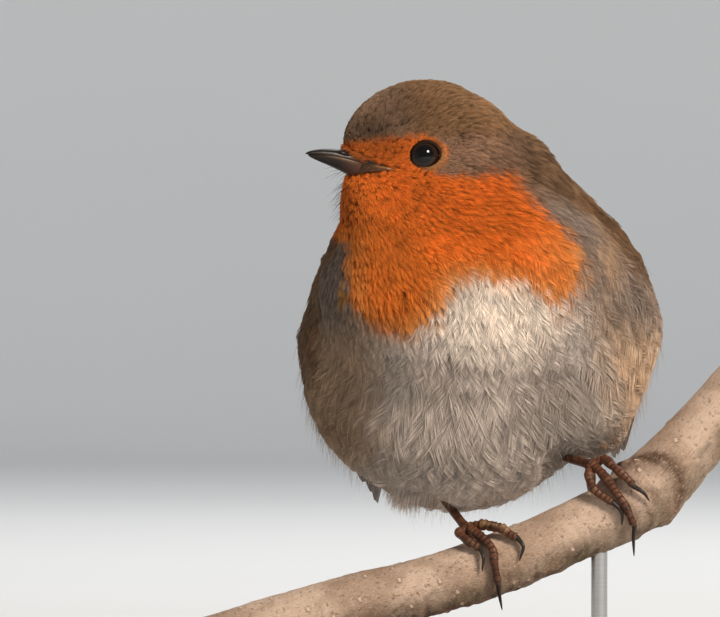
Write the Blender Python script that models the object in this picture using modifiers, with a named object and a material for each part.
"""A life-size european robin, fluffed up on a cut length of branch, on a plain display stand.

Metres, +Z up. The breast faces -Y and the head is turned towards -X. The origin is the centre of
the underside of the stand's base. Lengths below are in millimetres, and MM turns them to metres.
"""

import math

import bmesh
import bpy
from mathutils import Matrix, Vector
from mathutils.bvhtree import BVHTree

MM = 0.001
GAP = 0.3  # between neighbouring pieces, so that none overlap

# Driving sizes of the species
TRUNK_WIDTH = 64.0
TRUNK_LENGTH = 68.0
TRUNK_DEPTH = 47.0
TRUNK_PITCH = 40.0  # degrees that the breast end stands above the tail end
HEAD_LENGTH = 38.6  # without the bill
HEAD_WIDTH = 25.2
HEAD_HEIGHT = 29.6
EYEBALL_RADIUS = 3.05
BILL_TO_CENTRE = 26.4  # from the middle of the head to the tip of the bill
BILL_ROOT = 13.5  # from the middle of the head to where the horn begins, under the feathers
WING_LIFT = 0.5  # of the wing's middle surface over the flank
WING_SPLIT = 9  # the row of the wing's grid where the coverts end
COVERT_THICKNESS = 2.2
FLIGHT_THICKNESS = 1.8
TAIL_LENGTH = 46.0
TAIL_THICKNESS = 1.6
TARSUS_RADIUS = 0.72
TOE_RADIUS = 0.80
CLAW_RADIUS = 0.38
CLAW_TIP_RADIUS = 0.22
PERCH_RADIUS = 5.65
ROD_RADIUS = 1.5
ROD_SINK = 3.0  # of the rods into the base
BASE_RADIUS = 42.0
BASE_HEIGHT = 8.0

# Places
TRUNK_CENTRE = Vector((0, 2, 80))
HEAD_CENTRE = Vector((-7.7, -17, 111.6))
HEAD_YAW = 25.0  # degrees that the bill points out of the -X direction, towards -Y
HEAD_PITCH = 4.0  # degrees that the bill points up
HEAD_CUT = 105.0  # heights of the two cuts that part the head, the neck and the trunk
NECK_CUT = 94.5
NECK_TILT = -4.0  # degrees, so that the cuts fall from the nape to the throat
BODY_FINISH = {"head": "brown", "neck": "orange", "trunk": "pale"}
PERCH_Y = -8.0
PERCH_ROUTE = [  # X and Z of the middle of the branch
    (-52, 21.7), (-38, 26.1), (-23.5, 30.0), (-2.6, 35.6), (14.8, 42.4), (30.2, 50.9), (48.3, 70.3)]
KNOT_X = 31.0
KNOT_SWELLING = 0.14
BODY_TRIANGLES = 2000

parts = None  # the collection of the finished pieces
tools = None  # the collection of cutters and guides


# ---------------------------------------------------------------- the scene and its materials

def clear_scene():
    for obj in list(bpy.data.objects):
        bpy.data.objects.remove(obj)


def new_collection(name):
    made = bpy.data.collections.new(name)
    bpy.context.scene.collection.children.link(made)
    return made


def material(name, colour, roughness, metallic=0.0):
    made = bpy.data.materials.get(name) or bpy.data.materials.new(name)
    made.use_nodes = True
    shader = made.node_tree.nodes["Principled BSDF"]
    shader.inputs["Base Color"].default_value = (*colour, 1)
    shader.inputs["Roughness"].default_value = roughness
    shader.inputs["Metallic"].default_value = metallic
    return made


def finishes():
    return {
        "orange": material("orange_plumage", (0.62, 0.17, 0.02), 0.8),
        "brown": material("brown_plumage", (0.16, 0.10, 0.055), 0.8),
        "pale": material("pale_plumage", (0.50, 0.43, 0.36), 0.85),
        "horn": material("dark_horn", (0.02, 0.017, 0.015), 0.35),
        "leg": material("leg_skin", (0.13, 0.05, 0.03), 0.5),
        "eye": material("eye", (0.005, 0.004, 0.004), 0.05),
        "bark": material("bark", (0.36, 0.25, 0.18), 0.85),
        "wood": material("stand_wood", (0.12, 0.06, 0.035), 0.4),
        "steel": material("rod_steel", (0.6, 0.6, 0.6), 0.3, 1.0),
    }


# ---------------------------------------------------------------- helpers that make objects

def link(obj, finish=None):
    """Puts an object with the finished pieces, or with the hidden tools where it has no finish."""
    (parts if finish else tools).objects.link(obj)
    if finish:
        obj.data.materials.append(finish)
    else:
        obj.hide_render = True
        obj.display_type = "WIRE"
    return obj


def object_from_bmesh(name, bm, finish=None):
    mesh = bpy.data.meshes.new(name)
    bm.to_mesh(mesh)
    bm.free()
    return link(bpy.data.objects.new(name, mesh), finish)


def ellipsoid(name, centre, radii, turn=Matrix.Identity(3), taper=0, finish=None, segments=32):
    """A sphere stretched to three radii, turned, then set at its centre, with its scale applied.

    A taper above 0 draws its front half, towards its own X, in at the sides to a blunt wedge.
    """
    bm = bmesh.new()
    bmesh.ops.create_uvsphere(bm, u_segments=segments, v_segments=segments // 2, radius=1)
    for vert in bm.verts:
        vert.co.y *= 1 - taper * max(vert.co.x, 0) ** 1.5
    size = Matrix.Diagonal([r * MM for r in radii] + [1])
    place = Matrix.Translation(Vector(centre) * MM) @ turn.to_4x4() @ size
    bmesh.ops.transform(bm, matrix=place, verts=bm.verts)
    return object_from_bmesh(name, bm, finish)


def rod(name, start, end, radius, finish=None, sides=24):
    """A round bar between two points."""
    start, end = Vector(start) * MM, Vector(end) * MM
    bm = bmesh.new()
    bmesh.ops.create_cone(
        bm, cap_ends=True, segments=sides, radius1=radius * MM, radius2=radius * MM,
        depth=(end - start).length)
    turn = (end - start).to_track_quat("Z", "Y").to_matrix().to_4x4()
    bmesh.ops.transform(bm, matrix=Matrix.Translation((start + end) / 2) @ turn, verts=bm.verts)
    return object_from_bmesh(name, bm, finish)


def smooth_route(points, count):
    """count points on a smooth curve through a few points, by Catmull-Rom between each pair."""
    knots = [Vector(p) for p in points]
    knots = [knots[0] * 2 - knots[1], *knots, knots[-1] * 2 - knots[-2]]
    spans = len(points) - 1
    route = []
    for i in range(count):
        at = min(i / (count - 1) * spans, spans - 1e-9)
        k, t = int(at), at - int(at)
        a, b, c, d = knots[k:k + 4]
        route.append(0.5 * (2 * b + (c - a) * t + (2 * a - 5 * b + 4 * c - d) * t ** 2
                            + (3 * b - a - 3 * c + d) * t ** 3))
    return route


def tube(name, route, radii, finish=None, sides=2):
    """A mesh tube along a route, made from a curve with a bevel, whose caps are welded to its sides."""
    curve = bpy.data.curves.new(name, "CURVE")
    curve.dimensions = "3D"
    curve.bevel_depth = MM
    curve.bevel_resolution = sides
    curve.use_fill_caps = True
    spline = curve.splines.new("POLY")
    spline.points.add(len(route) - 1)
    for point, place, radius in zip(spline.points, route, radii):
        point.co = (*(Vector(place) * MM), 1)
        point.radius = radius
    guide = bpy.data.objects.new(name + "_curve", curve)
    tools.objects.link(guide)
    graph = bpy.context.evaluated_depsgraph_get()
    mesh = bpy.data.meshes.new_from_object(guide.evaluated_get(graph))
    bpy.data.objects.remove(guide)
    bm = bmesh.new()
    bm.from_mesh(mesh)
    bmesh.ops.remove_doubles(bm, verts=bm.verts, dist=0.01 * MM)
    bmesh.ops.recalc_face_normals(bm, faces=bm.faces)
    mesh.materials.clear()
    return object_from_bmesh(name, bm, finish)


def loft(name, rings, finish=None):
    """A closed skin over rings of equal point count, with the two end rings filled."""
    bm = bmesh.new()
    rows = [[bm.verts.new(Vector(p) * MM) for p in ring] for ring in rings]
    count = len(rows[0])
    for low, high in zip(rows, rows[1:]):
        for i in range(count):
            j = (i + 1) % count
            bm.faces.new((low[i], low[j], high[j], high[i]))
    bm.faces.new(rows[0][::-1])
    bm.faces.new(rows[-1])
    bmesh.ops.recalc_face_normals(bm, faces=bm.faces)
    return object_from_bmesh(name, bm, finish)


def sheet(name, grid, thickness, finish=None):
    """An open surface over a grid of points, with a wall of the given thickness about it."""
    bm = bmesh.new()
    rows = [[bm.verts.new(Vector(p) * MM) for p in row] for row in grid]
    for low, high in zip(rows, rows[1:]):
        for i in range(len(low) - 1):
            bm.faces.new((low[i], low[i + 1], high[i + 1], high[i]))
    bmesh.ops.recalc_face_normals(bm, faces=bm.faces)
    made = object_from_bmesh(name, bm, finish)
    wall = made.modifiers.new("wall", "SOLIDIFY")
    wall.thickness = thickness * MM
    wall.offset = 0
    return made


def boolean(obj, operation, other):
    cut = obj.modifiers.new(operation.lower(), "BOOLEAN")
    cut.operation = operation
    cut.object = other


def applied(obj):
    """The object's mesh with its modifiers worked in."""
    graph = bpy.context.evaluated_depsgraph_get()
    mesh = bpy.data.meshes.new_from_object(obj.evaluated_get(graph))
    obj.modifiers.clear()
    obj.data = mesh
    return obj


def shade_smooth(obj, angle):
    obj.data.shade_smooth()
    obj.data.set_sharp_from_angle(angle=math.radians(angle))


# ---------------------------------------------------------------- directions of the head

def head_turn():
    """The head's own axes as a matrix: its columns are forward, towards its left side and up."""
    yaw, pitch = math.radians(HEAD_YAW), math.radians(HEAD_PITCH)
    level = Vector((-math.cos(yaw), -math.sin(yaw), 0))
    forward = level * math.cos(pitch) + Vector((0, 0, math.sin(pitch)))
    left = Vector((0, 0, 1)).cross(level)
    up = forward.cross(left)
    return Matrix((forward, left, up)).transposed()


def in_head(forward, left, up):
    """A point of the head's own axes, in the model's."""
    return HEAD_CENTRE + head_turn() @ Vector((forward, left, up))


# ---------------------------------------------------------------- the feathered body

def body_forms():
    """The masses of plumage that the body is moulded from: name, centre, radii, turn and taper."""
    level = Matrix.Identity(3)
    pitch = Matrix.Rotation(-math.radians(TRUNK_PITCH), 3, "X")
    tail_pitch = Matrix.Rotation(-math.radians(TRUNK_PITCH / 2), 3, "X")
    head = head_turn()
    return [
        ("trunk", TRUNK_CENTRE, (TRUNK_WIDTH / 2, TRUNK_LENGTH / 2, TRUNK_DEPTH / 2), pitch, 0),
        ("back", (0, 14, 82), (27.5, 26, 19), pitch, 0),
        ("belly", (-5, 1, 67), (25, 22, 20.8), level, 0),
        ("flank_left", (15, 2, 69.5), (15.2, 17, 12.2), level, 0),
        ("flank_right", (-15, 2, 71), (18.2, 17, 16.5), level, 0),
        ("breast", (-2, -13, 88), (28, 20, 22), level, 0),
        ("shoulders", (0.3, 0, 92.5), (29.3, 18, 16.3), level, 0),
        ("neck", (-2.5, -9, 101), (22.3, 16, 13), level, 0),
        ("nape", (1.6, -8, 104.3), (16.6, 13, 14.2), level, 0),
        ("rump", (2, 33, 69.5), (17, 20, 13.5), pitch, 0),
        ("vent", (1.5, 28, 61.5), (14.5, 20, 9), tail_pitch, 0),
        ("tail_coverts", (3, 46, 63.5), (9.5, 16, 6.5), tail_pitch, 0),
        ("skull", in_head(-3.0, 0, 0.6), (13.2, 11.2, 14.0), head, 0),
        ("brow", in_head(2.0, 0, 0.2), (HEAD_LENGTH / 2, 9.0, HEAD_HEIGHT / 2), head, 0.6),
        ("face", in_head(7.5, 0, -3.5), (11.5, 7.0, 7.4), head, 0.5),
        ("cheeks", in_head(-3.0, 0, -5.0), (13.5, HEAD_WIDTH / 2, 10), head, 0),
        ("throat", in_head(8.8, 0, -11.0), (9.8, 9.5, 13), head, 0),
    ]


def moulded_body():
    """The masses melted into one smooth skin of plumage, thinned to a few thousand triangles."""
    forms = [ellipsoid(*form) for form in body_forms()]
    bm = bmesh.new()
    for form in forms:
        bm.from_mesh(form.data)
        bpy.data.objects.remove(form)
    body = object_from_bmesh("body_mould", bm)
    melt = body.modifiers.new("melt", "REMESH")
    melt.mode = "VOXEL"
    melt.voxel_size = 1.3 * MM
    even = body.modifiers.new("even", "SMOOTH")
    even.factor = 0.5
    even.iterations = 36
    applied(body)
    thin = body.modifiers.new("thin", "DECIMATE")
    thin.ratio = BODY_TRIANGLES / (2 * len(body.data.polygons))
    return applied(body)


def slab(name, low, high, tilt):
    """A wide block between two heights on the neck's axis, tilted about Y by tilt degrees."""
    bm = bmesh.new()
    bmesh.ops.create_cube(bm, size=1)
    size = Matrix.Diagonal((200 * MM, 200 * MM, (high - low) * MM, 1))
    turn = Matrix.Rotation(math.radians(tilt), 4, "Y")
    place = Matrix.Translation(Vector((0, 0, (low + high) / 2)) * MM)
    bmesh.ops.transform(bm, matrix=turn @ place @ size, verts=bm.verts)
    return object_from_bmesh(name, bm)


def divide_body(body, finish):
    """The head, the neck and the trunk, parted by two thin cuts through the moulded body."""
    cuts = {"head": (HEAD_CUT, 150), "neck": (NECK_CUT, HEAD_CUT - GAP), "trunk": (20, NECK_CUT - GAP)}
    made = {}
    for name, (low, high) in cuts.items():
        piece = bpy.data.objects.new(name, body.data.copy())
        link(piece, finish[BODY_FINISH[name]])
        boolean(piece, "INTERSECT", slab(name + "_block", low, high, NECK_TILT))
        made[name] = piece
    return made


# ---------------------------------------------------------------- wings and tail

def wing_edges(side):
    """The lower and the upper edge of a folded wing as three-point curves. side is 1 on the bird's left."""
    tip = Vector((24.3, 50, 58)) if side > 0 else Vector((-17.0, 50, 50))
    lower = [Vector((side * 29, -11, 86)), Vector((33 if side > 0 else -30, 16, 65)), tip]
    upper = [Vector((side * 24, -10, 94)), Vector((side * 22, 20, 99)),
             tip + Vector((-side * 1.5, 1.5, 3.5))]
    return lower, upper


def bend(points, t):
    """A point on the quadratic curve with these three control points."""
    a, b, c = points
    return a * (1 - t) ** 2 + b * 2 * t * (1 - t) + c * t ** 2


def on_flank(tree, place, side):
    """The place moved out sideways to lie just over the flank, where the body reaches that far."""
    start = Vector((side * 80, place.y, place.z)) * MM
    hit = tree.ray_cast(start, Vector((-side, 0, 0)))[0]
    if hit is None:
        return place
    return Vector((side * max(side * place.x, side * hit.x / MM + WING_LIFT), place.y, place.z))


def wing_grid(tree, side, margin=0.0, rows=23, columns=6):
    """The wing's middle surface: laid on the flank at the shoulder, and free of the body at its tip."""
    lower, upper = wing_edges(side)
    grid = []
    for i in range(rows):
        s = i / (rows - 1)
        low, high = bend(lower, s), bend(upper, s)
        across = (high - low).normalized() * margin
        grid.append([on_flank(tree, (low - across).lerp(high + across, j / (columns - 1)), side)
                     for j in range(columns)])
    for _ in range(2):
        for i in range(1, rows - 1):
            for j in range(columns):
                grid[i][j].x = (grid[i - 1][j].x + 2 * grid[i][j].x + grid[i + 1][j].x) / 4
    return grid


def wing(body, side, finish):
    """The coverts and the flight feathers of one wing, and the cutter that makes room for them."""
    name = "wing_left_" if side > 0 else "wing_right_"
    tree = BVHTree.FromPolygons([v.co for v in body.data.vertices],
                                [tuple(p.vertices) for p in body.data.polygons])
    grid = wing_grid(tree, side)
    behind_the_gap = [a.lerp(b, 0.1) for a, b in zip(grid[WING_SPLIT], grid[WING_SPLIT + 1])]
    flight = [behind_the_gap, *grid[WING_SPLIT + 1:]]
    sheet(name + "coverts", grid[:WING_SPLIT + 1], COVERT_THICKNESS, finish["brown"])
    sheet(name + "flight", flight, FLIGHT_THICKNESS, finish["brown"])
    room = wing_grid(tree, side, margin=2 * GAP)
    room[0] = [point + Vector((0, -2 * GAP, 0)) for point in room[0]]
    return applied(sheet(name + "room", room, COVERT_THICKNESS + 3 * GAP))


def tail_grid(rows=8, columns=7, margin=0.0):
    """The tail from under its coverts to its tip: a shallow roof, widening towards a notched end."""
    start, end = Vector((2.6, 50, 65.5)), Vector((3.2, 50 + TAIL_LENGTH, 60.5))
    grid = []
    for i in range(rows):
        s = i / (rows - 1) - margin / TAIL_LENGTH
        middle = start.lerp(end, s)
        half = 6.5 + 4.5 * s + margin
        row = []
        for j in range(columns):
            t = 2 * j / (columns - 1) - 1
            notch = -2.2 * (1 - abs(t)) * s ** 4
            row.append(middle + Vector((half * t, notch, -1.8 * t * t)))
        grid.append(row)
    return grid


# ---------------------------------------------------------------- the bill and the eyes

def bill_ring(s, lower_half, margin=0.0, points=11):
    """A ring of one mandible at s along it, from 0 at the root to 1 at the tip, in the head's axes.

    The upper half arches over the line where the halves meet, and the lower half hangs under it.
    """
    forward = BILL_ROOT + (BILL_TO_CENTRE - BILL_ROOT) * s - (0.5 * s if lower_half else 0)
    meet = -2.5 + 3.9 * s - 2.5 * s * s
    left_over = max(1 - s, 0)
    half_width = 0.12 + margin + 3.2 * left_over ** 0.8
    height = 0.12 + 2 * margin + (3.2 * left_over ** 0.6 if lower_half else 2.2 * left_over ** 0.52)
    side = -1 if lower_half else 1
    ring = []
    for i in range(points):
        a = math.pi * i / (points - 1)
        up = max(math.sin(a), 0) ** 0.85 * height
        ring.append(in_head(forward, half_width * math.cos(a), meet + side * (GAP / 2 - margin + up)))
    return ring


def bill(finish, head):
    """The two mandibles, rooted in rooms cut from the head."""
    for name, lower_half in (("bill_upper", False), ("bill_lower", True)):
        loft(name, [bill_ring(i / 9, lower_half) for i in range(10)], finish["horn"])
        room = [bill_ring(i / 8 - 0.03, lower_half, margin=1.3 * GAP) for i in range(8)]
        boolean(head, "DIFFERENCE", loft(name + "_room", room))


def eyes(finish, head):
    """Both eyeballs, each in a socket cut from the head."""
    for name, side in (("eye_right", -1), ("eye_left", 1)):
        centre = in_head(5.4, side * 5.9, 0.5)
        ball = ellipsoid(name, centre, (EYEBALL_RADIUS,) * 3, finish=finish["eye"], segments=16)
        shade_smooth(ball, 180)
        socket = ellipsoid(name + "_socket", centre, (EYEBALL_RADIUS + GAP,) * 3, segments=16)
        boolean(head, "DIFFERENCE", socket)


# ---------------------------------------------------------------- the perch, feet and stand

def perch_point(s):
    """The middle of the perch at X of s, and the direction along it, in the plane of the perch."""
    route = smooth_route([(x, PERCH_Y, z) for x, z in PERCH_ROUTE], 200)
    i = min(range(len(route)), key=lambda k: abs(route[k].x - s))
    along = (route[min(i + 3, 199)] - route[max(i - 3, 0)]).normalized()
    return route[i], along


def perch_radius(x):
    """The perch's radius, which swells round the scar of a lost twig."""
    return PERCH_RADIUS * (1 + KNOT_SWELLING * math.exp(-((x - KNOT_X) / 7) ** 2))


def on_perch(x, angle, height):
    """A point round the perch at X of x: angle is from its top towards -Y, height is above the bark."""
    centre, along = perch_point(x)
    up = Vector((0, 1, 0)).cross(along) * -1
    up = up if up.z > 0 else -up
    a = math.radians(angle)
    out = up * math.cos(a) + Vector((0, -1, 0)) * math.sin(a)
    return centre + out * (perch_radius(x) + height)


def perch(finish):
    """A cut length of branch with a swelling where it was once scarred, drilled for its two rods."""
    route = smooth_route([(x, PERCH_Y, z) for x, z in PERCH_ROUTE], 22)
    radii = [perch_radius(p.x) for p in route]
    return tube("perch", route, radii, finish["bark"], sides=4)


def foot(side, at, rise, toes, ankle, finish):
    """A leg's tarsus and its four toes with their claws. toes maps a name to points round the perch."""
    word = "left" if side > 0 else "right"
    joint = on_perch(at, 0, rise)
    top = joint + (ankle - joint) * 0.62
    shank = smooth_route([joint, joint.lerp(top, 0.5) + Vector((0, 0.2, 0)), top], 8)
    radii = [1.1, 0.95, TARSUS_RADIUS, TARSUS_RADIUS, TARSUS_RADIUS, TARSUS_RADIUS, 0.8, 0.9]
    tube("tarsus_" + word, shank, radii, finish["leg"])
    for toe, points in toes.items():
        places = [on_perch(at + shift, angle, height) for angle, height, shift in points]
        route = smooth_route(places[:-2], 9)
        swell = [TOE_RADIUS * (1 + 0.13 * math.cos(6 * math.pi * i / 8)) * (1 - 0.025 * i)
                 for i in range(9)]
        tube(f"toe_{toe}_{word}", route, swell, finish["leg"])
        ahead = (route[-1] - route[-2]).normalized()
        claw = smooth_route([route[-1] + ahead * GAP, places[-2], places[-1]], 6)
        taper = [CLAW_RADIUS * (1 - i / 5) ** 0.6 + CLAW_TIP_RADIUS for i in range(6)]
        tube(f"claw_{toe}_{word}", claw, taper, finish["horn"], sides=1)
    return tube("tarsus_room_" + word, shank, [r + GAP for r in radii])


# Toes as places round the perch: the angle from its top, the height above the bark, and the way
# along it. The last two places of each are the middle and the tip of its claw.
RIGHT_TOES = {
    "middle": [(17, 2.0, 0.9), (60, 1.15, 3.0), (85, 1.1, 2.5), (119, 1.1, 1.9),
               (137, 1.6, 1.5), (156, 3.2, 1.1)],
    "outer": [(12, 2.3, -1.6), (36, 1.4, -0.4), (53, 1.1, 0.9), (72, 1.3, 1.0), (91, 0.8, 0.0)],
    "inner": [(9, 2.2, 3.0), (33, 1.6, 5.6), (60, 1.1, 7.7), (78, 1.2, 8.1), (96, 0.7, 6.6)],
    "hind": [(-14, 1.9, -0.3), (-45, 1.1, 0.3), (-70, 1.1, 0.6), (-90, 1.15, 0.8),
             (-110, 1.3, 1.0), (-135, 2.0, 1.2)],
}
LEFT_TOES = {
    "middle": [(23, 2.0, 0.9), (72, 1.25, 1.2), (96, 1.1, 1.1), (120, 1.1, 0.7),
               (138, 1.6, -0.3), (157, 3.4, -1.4)],
    "inner": [(16, 2.6, -1.5), (42, 1.6, -1.9), (75, 1.15, -0.2), (93, 1.2, 0.2), (112, 0.8, -0.8)],
    "outer": [(8, 2.9, 2.9), (34, 2.0, 3.4), (54, 1.3, 3.9), (72, 1.15, 4.0),
              (88, 1.2, 4.5), (104, 0.7, 4.4)],
    "hind": [(-16, 2.3, -1.0), (-42, 1.3, -2.3), (-70, 1.1, -2.3), (-92, 1.15, -2.1),
             (-112, 1.3, -2.0), (-137, 2.0, -1.9)],
}


def stand(perch_piece, finish):
    """A flat round base and two short rods, let into the base and into the underside of the perch."""
    base = rod("stand_base", (0, 0, 0), (0, 0, BASE_HEIGHT), BASE_RADIUS, finish["wood"], sides=56)
    edge = base.modifiers.new("edge", "BEVEL")
    edge.width = 1.2 * MM
    edge.limit_method = "ANGLE"
    for name, x in (("stand_rod_left", 22.0), ("stand_rod_right", -25.0)):
        centre, along = perch_point(x)
        foot_at = Vector((x, PERCH_Y, BASE_HEIGHT - ROD_SINK))
        head_at = Vector((x, PERCH_Y, centre.z - 1.0))
        rod(name, foot_at, head_at, ROD_RADIUS, finish["steel"])
        room = rod(name + "_room", foot_at - Vector((0, 0, GAP)), head_at + Vector((0, 0, GAP)),
                   ROD_RADIUS + GAP, sides=24)
        boolean(base, "DIFFERENCE", room)
        boolean(perch_piece, "DIFFERENCE", room)


# ---------------------------------------------------------------- the whole model

def build():
    global parts, tools
    clear_scene()
    parts = new_collection("european_robin")
    tools = new_collection("cutters")
    finish = finishes()
    body = moulded_body()
    pieces = divide_body(body, finish)
    bill(finish, pieces["head"])
    eyes(finish, pieces["head"])
    for side in (-1, 1):
        room = wing(body, side, finish)
        boolean(pieces["trunk"], "DIFFERENCE", room)
        boolean(pieces["neck"], "DIFFERENCE", room)
    tail = sheet("tail", tail_grid(), TAIL_THICKNESS, finish["brown"])
    tail_room = applied(sheet("tail_room", tail_grid(margin=2 * GAP), TAIL_THICKNESS + 3 * GAP))
    boolean(pieces["trunk"], "DIFFERENCE", tail_room)
    perch_piece = perch(finish)
    right_room = foot(-1, 0.4, 2.2, RIGHT_TOES, Vector((-14, 9, 59)), finish)
    left_room = foot(1, 25.5, 3.6, LEFT_TOES, Vector((5.6, 12, 60)), finish)
    boolean(pieces["trunk"], "DIFFERENCE", right_room)
    boolean(pieces["trunk"], "DIFFERENCE", left_room)
    stand(perch_piece, finish)
    for piece in [*pieces.values(), tail]:
        shade_smooth(piece, 60)


build()
